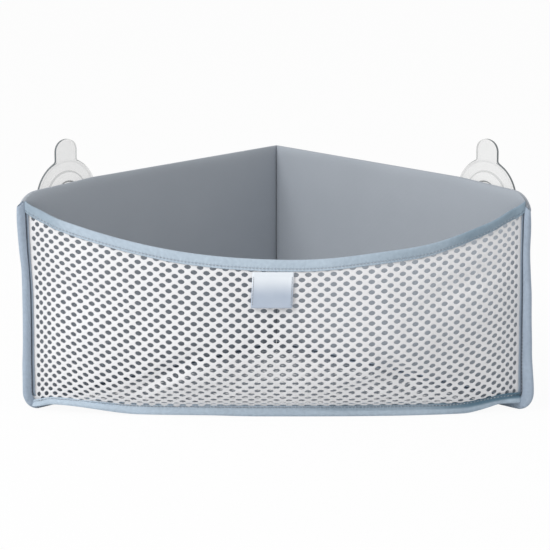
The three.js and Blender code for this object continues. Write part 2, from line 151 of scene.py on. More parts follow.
def frontNormal(across, height):
    step = 0.004
    rise = 0.0005
    across = min(1 - step, max(step - 1, across))
    left = frontPoint(across - step, height)
    right = frontPoint(across + step, height)
    below = frontPoint(across, height - rise)
    above = frontPoint(across, height + rise)
    return (right - left).cross(above - below).normalized()


def offFront(across, height, out):  # a point that stands off the mesh
    return frontPoint(across, height) + frontNormal(across, height) * out


# Lumps and creases of the slack mesh
slackCloth = {
    "lump": 0.0032,
    "lumpAcross": 3.1,
    "lumpUp": 17,
    "lumpPlace": (5.3, 1.7),
    "ripple": 0.0008,
    "rippleAcross": 14,
    "rippleUp": 60,
    "ripplePlace": 4.1,
    "topFade": (0.008, 0.030),  # it lies flat beside the tapes, as (margin, reach)
    "bottomFade": (0.009, 0.022),
    "sideFade": 0.10,
    "creases": [  # two ends as (across, height), width and depth
        ((-0.62, 0.018), (-0.30, 0.062), 0.007, 0.0046),
        ((-0.50, 0.016), (-0.18, 0.030), 0.006, 0.0030),
        ((-0.93, 0.120), (-0.55, 0.085), 0.010, 0.0026),
        ((0.62, 0.020), (0.42, 0.058), 0.007, 0.0044),
        ((0.16, 0.018), (0.52, 0.040), 0.006, 0.0030),
        ((0.92, 0.130), (0.60, 0.100), 0.010, 0.0024),
    ],
}


def slack(across, height):
    s = slackCloth
    margin, reach = s["topFade"]
    fade = within((topEdge(across) - height - margin) / reach)
    margin, reach = s["bottomFade"]
    fade *= within((height - bottomRise(across) - margin) / reach)
    fade *= min(1, (1 - abs(across)) / s["sideFade"])
    if fade <= 0:
        return 0
    shift, level = s["lumpPlace"]
    out = s["lump"] * noise.noise(Vector((across * s["lumpAcross"] + shift, height * s["lumpUp"], level)))
    spot = Vector((across * s["rippleAcross"], height * s["rippleUp"], s["ripplePlace"]))
    out += s["ripple"] * noise.noise(spot)
    here = Vector((across * bag["halfFront"], height))
    for (a0, h0), (a1, h1), width, depth in s["creases"]:
        start = Vector((a0 * bag["halfFront"], h0))
        run = Vector((a1 * bag["halfFront"], h1)) - start
        share = within((here - start).dot(run) / run.length_squared)
        away = (here - start - run * share).length / width
        out -= depth * math.exp(-away * away) * math.sin(math.pi * (0.15 + 0.7 * share))
    return out * fade


# The cloth is laid by its own length, across at mid height and down each column
def runOf(line):
    run = [0]
    for a, b in zip(line, line[1:]):
        run.append(run[-1] + (b - a).length)
    return run


def readAt(run, values, goal):
    k = min(len(run) - 1, max(1, bisect.bisect_left(run, goal)))
    part = (goal - run[k - 1]) / (run[k] - run[k - 1])
    return values[k - 1] + (values[k] - values[k - 1]) * part


girthSteps = [k / 200 for k in range(201)]
girth = runOf([frontPoint(across, bag["middle"]) for across in girthSteps])
gather = {"reach": 0.036, "slope": 0.60}  # the cloth is drawn together beside its side seams
gather["cloth"] = 2 * gather["reach"] / (1 + gather["slope"])
gather["start"] = girth[-1] - gather["reach"]
meshRows = {"dip": 0.016, "clear": 0.0015, "steps": 60}  # the rows dip less than the top edge
columnRuns = {}


def acrossAt(wide):
    past = max(0, abs(wide) - gather["start"])
    run = abs(wide) - past * past * (1 - gather["slope"]) / (2 * gather["cloth"])
    return math.copysign(readAt(girth, girthSteps, min(run, girth[-1])), wide)


def columnAt(across):  # from above the top edge down to the bottom fold
    key = round(across, 4)
    if key not in columnRuns:
        top = bag["topCorner"] - meshRows["dip"] * (1 - across * across)
        low = bottomLevel(across, "fold") + meshRows["clear"]
        steps = meshRows["steps"]
        heights = [top + (low - top) * k / steps for k in range(steps + 1)]
        columnRuns[key] = (runOf([frontPoint(across, height) for height in heights]), heights)
    return columnRuns[key]


def heightAt(across, share):
    run, heights = columnAt(across)
    return readAt(run, heights, within(share) * run[-1])


# Finishes
waveLength = 0.31416  # of a wave texture at a scale of 1


class Wire:  # an output socket that can stand in a sum
    def __init__(self, tree, socket):
        self.tree = tree
        self.socket = socket

    def make(self, kind, settings=None, values=None, output=0):
        node = self.tree.nodes.new(kind)
        for key, value in (settings or {}).items():
            setattr(node, key, value)
        for key, value in (values or {}).items():
            if isinstance(value, Wire):
                self.tree.links.new(value.socket, node.inputs[key])
            else:
                node.inputs[key].default_value = value
        return Wire(self.tree, node.outputs[output])

    def maths(self, operation, first, second):
        return self.make("ShaderNodeMath", {"operation": operation}, {0: first, 1: second})

    def __add__(self, other):
        return self.maths("ADD", self, other)

    def __sub__(self, other):
        return self.maths("SUBTRACT", self, other)

    def __rsub__(self, other):
        return self.maths("SUBTRACT", other, self)

    def __mul__(self, other):
        return self.maths("MULTIPLY", self, other)

    __radd__ = __add__
    __rmul__ = __mul__

    def part(self, axis):
        return self.make("ShaderNodeSeparateXYZ", {}, {"Vector": self}, axis)

    def rise(self, start, end):  # 0 up to the start, 1 from the end
        values = {"Value": self, "From Min": start, "From Max": end, "To Min": 0.0, "To Max": 1.0}
        return self.make("ShaderNodeMapRange", {"interpolation_type": "SMOOTHSTEP"}, values)

    def near(self, centre, reach):  # 1 at the centre, 0 from reach outwards
        away = self.make("ShaderNodeMath", {"operation": "ABSOLUTE"}, {0: self - centre})
        return 1 - away.rise(0.0, reach)

    def grain(self, scale, detail=2, roughness=0.5):
        values = {"Vector": self, "Scale": scale, "Detail": detail, "Roughness": roughness}
        return self.make("ShaderNodeTexNoise", {}, values)

    def ribs(self, direction, pitch, wobble=0.0):  # pitch in metres
        settings = {"wave_type": "BANDS", "bands_direction": direction}
        values = {"Vector": self, "Scale": waveLength / pitch, "Distortion": wobble}
        values.update({"Detail": 1, "Detail Scale": 2})
        return self.make("ShaderNodeTexWave", settings, values, 1)

    def blend(self, first, second):  # two colours, plain or wired
        first, second = (tone if isinstance(tone, Wire) else (*tone, 1) for tone in (first, second))
        return self.make("ShaderNodeMix", {"data_type": "RGBA"}, {0: self, 6: first, 7: second}, 2)

    def bump(self, strength, distance):
        return self.make("ShaderNodeBump", {}, {"Strength": strength, "Distance": distance, "Height": self})

    def into(self, shader, name):
        self.tree.links.new(self.socket, shader.inputs[name])


def startFinish(name, coordinates, settings):
    material = bpy.data.materials.new(name)
    material.use_nodes = True
    tree = material.node_tree
    shader = tree.nodes["Principled BSDF"]
    for key, value in settings.items():
        shader.inputs[key].default_value = value
    place = Wire(tree, tree.nodes.new("ShaderNodeTexCoord").outputs[coordinates])
    return material, place, shader


wallCloth = {
    "light": (0.455, 0.490, 0.535),
    "dark": (0.375, 0.410, 0.455),
    "loop": 0.0011,
    "sheen": 0.25,
}


def makeWallCloth():
    material, place, shader = startFinish("wallCloth", "Object", {
        "Sheen Weight": wallCloth["sheen"], "Sheen Roughness": 0.5, "Specular IOR Level": 0.25,
    })
    broad = place.grain(22, 3)
    fine = place.grain(1500, 2, 0.6)
    rows = place.ribs("Z", wallCloth["loop"], 1.5)
    loops = place.ribs("X", wallCloth["loop"] * 0.8, 1.5)
    knit = rows * 0.5 + loops * 0.3 + fine * 0.6
    (broad * 0.45 + knit * 0.4).blend(wallCloth["dark"], wallCloth["light"]).into(shader, "Base Color")
    (0.72 + fine * 0.2).into(shader, "Roughness")
    (knit + broad * 2).bump(0.25, 0.0002).into(shader, "Normal")
    return material


stitch = {"long": 0.0028, "wide": 0.00062, "high": 0.00040, "pitch": 0.0030, "slant": 0.12}
wholeTape = (-0.02, -0.01)  # across the tape, a rise that is over before its edge
tapeCloth = {
    "light": (0.525, 0.625, 0.720),
    "dark": (0.385, 0.465, 0.550),
    # painted shade: the stitched groove is darkened towards this colour, by each run's sewn strength
    "groove": (0.105, 0.130, 0.175),
    # painted shade where a wall's tape turns onto the mesh
    "crease": (0.050, 0.062, 0.090),
    "shadow": (0.020, 0.100, 0.160),
    "rib": 0.0009,
    "grooveAt": 0.0081,  # from the fold
    "sheen": 0.3,
    # paintedLighting scales the same cloth per run: painted light on the bottom tape, painted shade on the
    # walls' tapes
    "wall": {"paintedLighting": (0.81, 0.815, 0.85), "sewn": 0.70, "turned": []},
    "top": {
        "paintedLighting": (1.03, 1.03, 1.03),
        "sewn": 0.30,
        "turned": [  # painted shade: darker stretches as (from, to, low, high, strength), along the tape and across it, where it turns away from the light
            (0.03, 0.11, *wholeTape, 0.20),
            (0.128, 0.165, *wholeTape, 0.33),
            (-0.172, -0.190, *wholeTape, 0.26),
        ],
    },
    "bottom": {
        "paintedLighting": (1.12, 1.12, 1.12),
        "sewn": 0.40,
        # painted shade on the bottom tape's right-hand part, mostly its upper half, where it folds under
        "turned": [
            (0.013, 0.055, 0.0040, 0.0062, 0.30),
            (0.115, 0.165, 0.0035, 0.0062, 0.60),
            (0.115, 0.150, *wholeTape, 0.15),
            (0.152, 0.172, 0.0035, 0.0062, 0.25),
        ],
    },
}


def makeTapeCloth(run):
    s = tapeCloth
    paintedLighting, grooveShadeStrength, turned = (s[run][key] for key in ("paintedLighting", "sewn", "turned"))
    dark, light = ([part * share for part, share in zip(s[key], paintedLighting)] for key in ("dark", "light"))
    material, place, shader = startFinish(run + "TapeCloth", "UV", {
        "Sheen Weight": s["sheen"], "Sheen Roughness": 0.4, "Specular IOR Level": 0.3,
    })
    across = place.ribs("X", s["rib"], 0.6)
    along = place.ribs("Y", s["rib"] * 0.7, 0.6)
    fine = place.grain(2200, 2, 0.6)
    mottle = place.grain(320, 2)
    broad = place.grain(40, 3)
    weave = across * 0.5 + along * 0.25 + fine * 0.35
    leg = place.part(1)
    groove = leg.near(s["grooveAt"], 0.0011)
    crease = leg.near(-s["grooveAt"], 0.0017)  # painted shade where a wall's tape turns onto the mesh
    pucker = leg.near(s["grooveAt"], 0.0030) * place.ribs("X", stitch["pitch"], 0.8)
    shade = weave * 0.35 + mottle * 1.0 + broad * 0.7 - 0.52
    cloth = shade.blend(dark, light)
    # painted shade: stretches of the tape mixed towards the shadow colour
    for start, end, low, high, strength in turned:
        under = place.part(0).rise(start, end) * leg.rise(low, high) * strength
        cloth = under.blend(cloth, s["shadow"])
    # painted shade in the stitched groove
    cloth = (groove * grooveShadeStrength).blend(cloth, s["groove"])
    (crease * 0.92).blend(cloth, s["crease"]).into(shader, "Base Color")
    (0.62 + fine * 0.2).into(shader, "Roughness")
    relief = weave * 0.6 + mottle * 1.6 + broad * 2 + pucker * 2.5 - groove * 1.5 - crease * 2
    relief.bump(0.5, 0.0003).into(shader, "Normal")
    return material


meshCloth = {
    "front": {"light": (0.905, 0.905, 0.915), "dark": (0.800, 0.800, 0.815)},
    # the floor mesh's colour is not seen; it is dark grey partly as painted shade, so the holes above it
    # read as the shaded inside
    "floor": {"light": (0.330, 0.360, 0.400), "dark": (0.250, 0.275, 0.310)},
    "yarn": 0.0007,
    "sheen": 0.2,
}


def makeMeshCloth(part):
    material, place, shader = startFinish(part + "MeshCloth", "UV", {
        "Sheen Weight": meshCloth["sheen"], "Sheen Roughness": 0.5, "Specular IOR Level": 0.25,
    })
    wales = place.ribs("X", meshCloth["yarn"], 1.2)
    courses = place.ribs("Y", meshCloth["yarn"] * 0.8, 1.2)
    fine = place.grain(2600, 2, 0.6)
    knit = wales * 0.5 + courses * 0.3 + fine * 0.3
    tone = knit * 0.7 + place.grain(30) * 0.3
    tone.blend(meshCloth[part]["dark"], meshCloth[part]["light"]).into(shader, "Base Color")
    (0.68 + fine * 0.2).into(shader, "Roughness")
    knit.bump(0.35, 0.0002).into(shader, "Normal")
    return material


# Stitches carry painted shade at their ends, where they go down into the needle holes
sewingThread = {
    "light": (0.66, 0.71, 0.77),
    "dark": (0.46, 0.51, 0.57),
    # painted shade in the needle holes, fainter on the top tape's rows
    "hole": {"sewingThread": (0.10, 0.11, 0.13), "paleHoleShadeThread": (0.26, 0.30, 0.35)},
    "twist": 0.0004,
}


def makeSewingThread(name):
    material, place, shader = startFinish(name, "UV", {"Sheen Weight": 0.3, "Roughness": 0.55})
    twist = place.ribs("DIAGONAL", sewingThread["twist"])
    end = 1 - place.part(0).near(0.0, stitch["long"] * 0.38)
    thread = twist.blend(sewingThread["dark"], sewingThread["light"])
    end.blend(thread, sewingThread["hole"][name]).into(shader, "Base Color")
    twist.bump(0.4, 0.0001).into(shader, "Normal")
    return material


labelPatch = {
    "wide": 0.0347,
    "tall": 0.029,
    "shift": -0.0035,
    "slope": 0.0015,  # the sides lean a little
    "under": 0.0099,  # below the top edge
    "lift": 0.0011,
    "thickness": 0.0009,
    "border": 0.0026,
    "borderEase": 0.0003,
    "raise": 0.0003,
    "roll": 0.0008,
    "rollDeep": 0.6,
    "sewInset": 0.0013,
    "sewLift": 0.0005,
    "sewRun": (0.04, 0.96),
    "sewFacing": 0.12,  # the stitches lie square to the mesh at this height
    "cells": 24,
}
labelVinyl = {
    "light": (0.820, 0.870, 0.925),
    "dark": (0.405, 0.475, 0.585),
    "paintedTopLight": (0.30, 0.88),  # painted highlight towards the top and painted shade below, between these shares of its height
}


def makeLabelVinyl():
    settings = {"Coat Roughness": 0.3, "Specular IOR Level": 0.4}
    material, place, shader = startFinish("labelVinyl", "UV", settings)
    cloudy = place.grain(70, 3)
    fine = place.grain(1400, 2)
    low, high = (share * labelPatch["tall"] for share in labelVinyl["paintedTopLight"])
    # painted highlight at the top, painted shade lower down
    clear = place.part(1).rise(low, high)
    (clear * 0.9 + cloudy * 0.2).blend(labelVinyl["dark"], labelVinyl["light"]).into(shader, "Base Color")
    (0.34 + fine * 0.16).into(shader, "Roughness")
    (0.25 + cloudy * 0.2).into(shader, "Coat Weight")
    fine.bump(0.12, 0.0001).into(shader, "Normal")
    return material


cupVinyl = {
    "light": (0.76, 0.76, 0.75),
    "dark": (0.68, 0.685, 0.675),
    "edge": (0.11, 0.13, 0.14),  # painted shade on the rim seen from its side, where light bends at the vinyl's edge
    "solid": 0.19,  # of each face; the rest is seen through
}


def makeCupVinyl():
    material, place, shader = startFinish("cupVinyl", "Object", {"IOR": 1.45, "Specular IOR Level": 0.45})
    cloudy = place.grain(60, 3)
    fine = place.grain(700, 2)
    inside = place.make("ShaderNodeNewGeometry", {}, {}, "Backfacing")
    rim = Wire(place.tree, place.socket.node.outputs["UV"])
    edge = rim.part(0) * (1 - inside * (1 - rim.part(1)))
    vinyl = cloudy.blend(cupVinyl["dark"], cupVinyl["light"])
    # painted shade on the rim's edges
    edge.blend(vinyl, cupVinyl["edge"]).into(shader, "Base Color")
    (cupVinyl["solid"] + cloudy * 0.06 + edge * 0.72).into(shader, "Alpha")
    (0.20 + fine * 0.14).into(shader, "Roughness")
    (fine + cloudy * 2).bump(0.08, 0.0002).into(shader, "Normal")
    return material


def makeMoulding(name, dark, light, rough):
    material, place, shader = startFinish(name, "Object", {"Specular IOR Level": 0.4})
    fine = place.grain(900, 2)
    place.grain(50, 3).blend(dark, light).into(shader, "Base Color")
    (rough + fine * 0.15).into(shader, "Roughness")
    fine.bump(0.15, 0.0001).into(shader, "Normal")
    return material


finishes = {
    "wall": makeWallCloth(),
    "tape": makeTapeCloth("wall"),
    "topTape": makeTapeCloth("top"),
    "bottomTape": makeTapeCloth("bottom"),
    "mesh": makeMeshCloth("front"),
    "floor": makeMeshCloth("floor"),
    "thread": makeSewingThread("sewingThread"),
    "paleHoleShadeThread": makeSewingThread("paleHoleShadeThread"),
    "label": makeLabelVinyl(),
    "cup": makeCupVinyl(),
    "eyelet": makeMoulding("eyeletPlastic", (0.25, 0.28, 0.31), (0.31, 0.34, 0.37), 0.35),
    "wall_board": makeMoulding("boardPlastic", (0.63, 0.63, 0.60), (0.71, 0.71, 0.68), 0.5),
}
print("finishes made")


def meshFrom(bm, name):
    mesh = bpy.data.meshes.new(name)
    bm.to_mesh(mesh)
    bm.free()
    return mesh


def addObject(name, data):
    thing = bpy.data.objects.new(name, data)
    bpy.context.scene.collection.objects.link(thing)
    return thing


# From a bmesh to a piece that rides on a body
def makePiece(bm, name, finish, nodes=(), body="organizer"):
    mesh = meshFrom(bm, name)
    mesh.materials.append(finishes[finish])
    mesh.shade_smooth()
    piece = addObject(name, mesh)
    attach(piece, body)
    if nodes:
        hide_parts(*nodes)
    return piece


def smoothen(piece):
    finer = piece.modifiers.new("smooth", "SUBSURF")
    finer.levels = 1
    finer.render_levels = 1


def thicken(piece, thickness, offset, edge=0):
    solid = piece.modifiers.new("thickness", "SOLIDIFY")
    solid.thickness = thickness
    solid.offset = offset
    solid.use_even_offset = False
    if edge:
        rounding = piece.modifiers.new("edge", "BEVEL")
        rounding.width = edge
        rounding.segments = 2
        rounding.limit_method = "ANGLE"


def padOut(piece, thickness):  # cloth of this thickness about its middle, smoothed
    thicken(piece, thickness, 0)
    smoothen(piece)


def ofKind(parts, kind):
    return [part for part in parts if isinstance(part, kind)]


def weld(bm):
    bmesh.ops.remove_doubles(bm, verts=bm.verts, dist=1e-6)


def faceOutwards(bm):
    bmesh.ops.recalc_face_normals(bm, faces=bm.faces)


def chainOf(bm, spots):
    verts = [bm.verts.new(spot) for spot in spots]
    return verts, [bm.edges.new(pair) for pair in zip(verts, verts[1:])]


def planeCut(bm, point, normal, drop=False):
    parts = bm.verts[:] + bm.edges[:] + bm.faces[:]
    bmesh.ops.bisect_plane(bm, geom=parts, plane_co=point, plane_no=normal, dist=1e-6, clear_inner=drop)


def mitre(bm):  # the two walls meet on the plane between them
    halfGap = 0.00021
    planeCut(bm, (halfGap, 0, 0), (1, 1, 0), True)


def setOnWall(bm, side):
    bmesh.ops.transform(bm, matrix=wallMatrix(side), verts=bm.verts)
    if side < 0:
        bmesh.ops.reverse_faces(bm, faces=bm.faces)


def layFlat(bm, spotOf=lambda vert: vert.co.xy):  # cloth coordinates in metres
    layer = bm.loops.layers.uv.new("cloth")
    for face in bm.faces:
        for loop in face.loops:
            loop[layer].uv = spotOf(loop.vert)


def roundedPanel(corners, depth):  # corners as (along, up, radius)
    bm = bmesh.new()
    verts = [bm.verts.new((along, depth, up)) for along, up, radius in corners]
    bm.faces.new(verts)
    for vert, (along, up, radius) in zip(verts, corners):
        if radius:
            bmesh.ops.bevel(bm, geom=[vert], offset=radius, offset_type="OFFSET", segments=8, profile=0.5,
                            affect="VERTICES", material=-1)
    return bm


# Lining of each wall
lining = {
    "back": 0.0001,
    "front": 0.3000,
    "padFront": 0.2954,
    "bottom": 0.0045,
    "shoulder": 0.1755,
    "top": 0.1920,
    "topRadius": 0.0160,
    "bottomRadius": 0.0140,
    "thickness": 0.0009,
    "edge": 0.0003,
    "cell": 0.01,
    "nearSeam": [0.0015, 0.003, 0.0045, 0.007],  # finer cuts there
    "puff": 0.0013,  # how far the cloth stands off the board between its seams
    "give": 0.0007,
    "puffRise": {"back": 0.007, "front": 0.009, "top": 0.007, "bottom": 0.010},
    "bottomSeam": 0.0105,
}


def swell(distance, reach):  # rises quickly from a seam
    t = within(distance / reach)
    return 1 - (1 - t) ** 2


wallCorner = {
    "drop": 0.004,
    "dropAlong": (0.2204, 0.075),  # as (start, run)
    "dropUp": (0.150, 0.034),
    "overUp": (0.164, 0.174),
    "overAlong": (0.245, 0.292),
    "left": (0.0092, 0.3048),  # how far the corner reaches over the tape's end, and where it stops
    "right": (0.0046, 0.3001),
}


def fall(bm, hand):  # the walls' top edge falls towards the front corner
    s = wallCorner
    alongStart, alongRun = s["dropAlong"]
    upStart, upRun = s["dropUp"]
    reach, limit = s[hand]
    for vert in bm.verts:
        along = within((vert.co.x - alongStart) / alongRun)
        up = within((vert.co.z - upStart) / upRun)
        vert.co.z -= s["drop"] * along * up
        over = eased(vert.co.z, *s["overUp"])
        vert.co.x = min(limit, vert.co.x + reach * over * eased(vert.co.x, *s["overAlong"]))


def makeLining(side, hand):
    s = lining
    bm = roundedPanel([
        (s["back"], s["bottom"], 0),
        (s["front"], s["bottom"], s["bottomRadius"]),
        (s["front"], s["shoulder"], 0),
        (s["padFront"], s["shoulder"], 0),
        (s["padFront"], s["top"], s["topRadius"]),
        (s["back"], s["top"], 0),
    ], 0)
    near = s["nearSeam"]
    for along in near + [k * s["cell"] for k in range(1, 29)] + [s["padFront"] - step for step in near]:
        planeCut(bm, (along, 0, 0), (1, 0, 0))
    for up in [k * s["cell"] for k in range(1, 19)] + [s["top"] - step for step in near]:
        planeCut(bm, (0, 0, up), (0, 0, 1))
    rise = s["puffRise"]
    for vert in bm.verts:
        along, up = vert.co.x, vert.co.z
        soft = s["puff"] + s["give"] * noise.noise(Vector((along * 16 + side * 7, up * 18, 2.3)))
        soft *= swell(along, rise["back"]) * swell(s["padFront"] - along, rise["front"])
        vert.co.y -= soft * swell(s["top"] - up, rise["top"]) * swell(up - s["bottomSeam"], rise["bottom"])
    fall(bm, hand)
    setOnWall(bm, side)
    piece = makePiece(bm, hand + "Lining", "wall", [hand + "_wall_lining"])
    thicken(piece, s["thickness"], -1, s["edge"])


# Outer cover of each wall: a shallow tray over the board, holed for the eyelet
cupPlace = {"along": 0.2450, "up": 0.1770}  # of each cup's stud, on its wall
cover = {
    "back": -0.012,  # past the corner, and mitred off again
    "front": 0.2954,
    "bottom": 0.0106,
    "top": 0.1920,
    "topRadius": 0.0180,
    "bottomRadius": 0.0097,
    "inner": 0.0012,
    "outer": 0.0048,
    "thickness": 0.0009,
    "roll": 0.0015,
    "cell": 0.01,
    "fineCell": 0.0045,  # round the hole
    "hole": 0.0051,
    "holeReach": 0.014,
    "give": 0.0007,
    "giveFrom": 0.012,  # flat round the eyelet
    "giveFade": 0.02,
}


def makeCover(side, hand):
    s = cover
    bm = roundedPanel([
        (s["back"], s["top"], 0),
        (s["front"], s["top"], s["topRadius"]),
        (s["front"], s["bottom"], s["bottomRadius"]),
        (s["back"], s["bottom"], 0),
    ], s["outer"])
    centre = Vector((cupPlace["along"], s["outer"], cupPlace["up"]))
    for k in range(0, 24):
        planeCut(bm, (k * s["cell"], 0, 0), (1, 0, 0))
    for k in range(2, 17):
        planeCut(bm, (0, 0, k * s["cell"]), (0, 0, 1))
    for k in (-2, -1, 0, 1, 2):  # a finer square round the hole
        planeCut(bm, centre + Vector((k * s["fineCell"], 0, 0)), (1, 0, 0))
        planeCut(bm, centre + Vector((0, 0, k * s["fineCell"])), (0, 0, 1))

    def inSquare(face):
        away = face.calc_center_median() - centre
        return max(abs(away.x), abs(away.z)) < 2 * s["fineCell"]

    bmesh.ops.delete(bm, geom=[face for face in bm.faces if inSquare(face)], context="FACES")
    square = [edge for edge in bm.edges if edge.is_boundary
              and all((vert.co - centre).length < s["holeReach"] for vert in edge.verts)]
    rimEdges = [edge for edge in bm.edges if edge.is_boundary and edge not in square
                and not all(vert.co.x < s["back"] + 0.001 for vert in edge.verts)]
    turn = Matrix.Translation(centre) @ Matrix.Rotation(math.pi / 2, 4, "X")
    ring = bmesh.ops.create_circle(bm, segments=16, radius=s["hole"], matrix=turn)["verts"]
    circle = [edge for edge in bm.edges if all(vert in ring for vert in edge.verts)]
    bmesh.ops.bridge_loops(bm, edges=square + circle)
    for vert in bm.verts:
        away = (vert.co - centre).length - s["giveFrom"]
        margin = min(away, s["top"] - vert.co.z, vert.co.z - s["bottom"], s["front"] - vert.co.x)
        soft = noise.noise(Vector((vert.co.x * 15 + side * 3, vert.co.z * 17, 8.1)))
        vert.co.y += s["give"] * soft * within(margin / s["giveFade"])
    made = bmesh.ops.extrude_edge_only(bm, edges=rimEdges)["geom"]
    deep = s["inner"] - s["outer"]
    bmesh.ops.translate(bm, vec=(0, deep, 0), verts=ofKind(made, bmesh.types.BMVert))
    bmesh.ops.bevel(bm, geom=rimEdges, offset=s["roll"], offset_type="OFFSET", segments=3, profile=0.5,
                    affect="EDGES", material=-1)
    weld(bm)
    fall(bm, hand)
    mitre(bm)
    faceOutwards(bm)
    if sum(face.normal.y for face in bm.faces) < 0:
        bmesh.ops.reverse_faces(bm, faces=bm.faces)
    setOnWall(bm, side)
    piece = makePiece(bm, hand + "Cover", "wall", [hand + "_wall_cover"])
    thicken(piece, s["thickness"], -1)


# Tape round each wall's front edge, lower corner and bottom edge; its inner margin is turned onto the mesh
wallTape = {
    "length": 0.3060,
    "top": {"left": 0.1785, "right": 0.1748},
    "cornerRadius": 0.0172,
    "past": 0.012,  # beyond the back corner, and mitred off again
    "steps": {"down": 24, "round": 10, "back": 34},
    "thickness": 0.0008,
    "section": [  # depth outwards and distance in from the fold
        (-0.0036, 0.01070), (-0.0033, 0.01035), (-0.0025, 0.00995), (-0.0013, 0.00940), (-0.0009, 0.00895),
        (-0.0014, 0.0083), (-0.0023, 0.0074), (-0.0026, 0.0056), (-0.0024, 0.0032), (-0.0017, 0.0013),
        (-0.0007, 0.0005), (0.0003, 0.0003), (0.0013, 0.0005), (0.0023, 0.0013), (0.0030, 0.0032),
        (0.0031, 0.0058), (0.0026, 0.0081), (0.0028, 0.0101),
    ],
    "foldDepth": 0.0003,
    "innerShare": 0.9,  # of the inner leg's cloth coordinate
    "wave": 0.0004,
    "waveUp": (0.02, 0.03),  # the fold wavers from this height, over this run
    "end": 0.009,
    "endRise": 0.0046,  # the cut end is higher at the inner edge
    "endRun": 0.03,
    "endFlat": 0.6,
    "leanDeep": 0.0105,
    "lean": {  # how far the fold stands out, by height
        "left": [(0.020, -0.0014), (0.040, -0.0017), (0.052, -0.0026), (0.100, -0.0032), (0.124, -0.0045),
                 (0.138, -0.0031), (0.157, -0.0025), (0.179, -0.0016)],
        "right": [(0.020, 0.0028), (0.034, 0.0016), (0.050, -0.0005), (0.075, -0.0010), (0.103, -0.0023),
                  (0.131, -0.0046), (0.141, -0.0050), (0.156, -0.0043), (0.179, -0.0043)],
    },
    "stitches": [(-0.00142, 0.0090, -1), (0.00312, 0.0081, 1)],  # depth, distance in and facing of each row
    "stitchTop": 0.003,
    "stitchEnd": 0.012,  # short of the corner
}


def drawOut(bm, edges, count, step):  # a chain of edges, extruded again and again
    for k in range(count):
        made = bmesh.ops.extrude_edge_only(bm, edges=edges)["geom"]
        verts = ofKind(made, bmesh.types.BMVert)
        touching = dict.fromkeys(edge for vert in verts for edge in vert.link_edges)
        edges = [edge for edge in touching if all(end in verts for end in edge.verts)]
        bmesh.ops.translate(bm, vec=step, verts=verts)
    return verts, edges


def tapeRun(spot, top):  # distance along the tape and across it
    s = wallTape
    radius = s["cornerRadius"]
    hub = s["length"] - radius
    if spot.z >= radius and spot.x > hub:
        return top - spot.z, s["length"] - spot.x
    if spot.x > hub:
        turn = math.atan2(radius - spot.z, spot.x - hub)
        return top - radius + radius * turn, radius - math.hypot(spot.x - hub, radius - spot.z)
    return top - radius + radius * math.pi / 2 + hub - spot.x, spot.z


def makeWallTape(side, hand):
    s = wallTape
    top = s["top"][hand]
    radius = s["cornerRadius"]
    hub = (s["length"] - radius, 0, radius)
    steps = s["steps"]
    bm = bmesh.new()
    verts, edges = chainOf(bm, [(s["length"] - inward, depth, top) for depth, inward in s["section"]])
    drop = (top - radius) / steps["down"]
    verts, edges = drawOut(bm, edges, steps["down"], (0, 0, -drop))
    made = bmesh.ops.spin(bm, geom=verts + edges, cent=hub, axis=(0, 1, 0), angle=math.pi / 2,
                          steps=steps["round"])["geom_last"]
    edges = ofKind(made, bmesh.types.BMEdge)
    drawOut(bm, edges, steps["back"], (-(hub[0] + s["past"]) / steps["back"], 0, 0))
    weld(bm)
    spots = {vert: tapeRun(vert.co, top) for vert in bm.verts}

    def clothSpot(vert):
        along, inward = spots[vert]
        return along, inward if vert.co.y > s["foldDepth"] else -s["innerShare"] * inward

    layFlat(bm, clothSpot)
    levels, stands = zip(*s["lean"][hand])
    waveStart, waveRun = s["waveUp"]
    for vert in bm.verts:
        along, inward = spots[vert]
        outer = max(0, 1 - inward / s["leanDeep"])
        upright = within((vert.co.z - waveStart) / waveRun)
        vert.co.y += s["wave"] * noise.noise(Vector((along * 45, side * 3.7, 0.2)))
        vert.co.x += s["wave"] * 1.5 * noise.noise(Vector((along * 30, side * 5.1, 6.4))) * upright * outer
        vert.co.x += readAt(levels, stands, min(levels[-1], max(levels[0], vert.co.z))) * outer
        vert.co.x += leftLean(vert.co.z) * (side < 0)
        vert.co.y *= 1 - s["endFlat"] * max(0, 1 - along / s["end"])
        vert.co.z += s["endRise"] * min(1, inward / s["end"]) * max(0, 1 - along / s["endRun"]) ** 2
    mitre(bm)
    faceOutwards(bm)
    setOnWall(bm, side)
    piece = makePiece(bm, hand + "WallTape", "tape", [hand + "_wall_binding"])
    padOut(piece, s["thickness"])


# White mesh: a lattice of diamonds with a hole in each
netting = {
    "halfAcross": 0.0053,  # half a diamond
    "halfUp": 0.0043,
    "frame": 0.00106,  # cloth round a hole
    "stretchAcross": 1.18,
    "stretchUp": 0.97,
    "thickness": 0.0009,
}


def makeLattice(halfWide, halfTall):
    across = netting["halfAcross"]
    up = netting["halfUp"]
    bm = bmesh.new()
    cells = math.ceil(halfWide / across + halfTall / up) + 2
    bmesh.ops.create_grid(bm, x_segments=cells, y_segments=cells, size=cells / 2)
    turn = Matrix(((across, -across, 0, 0), (up, up, 0, 0), (0, 0, 1, 0), (0, 0, 0, 1)))
    bmesh.ops.transform(bm, matrix=turn, verts=bm.verts)
    return bm


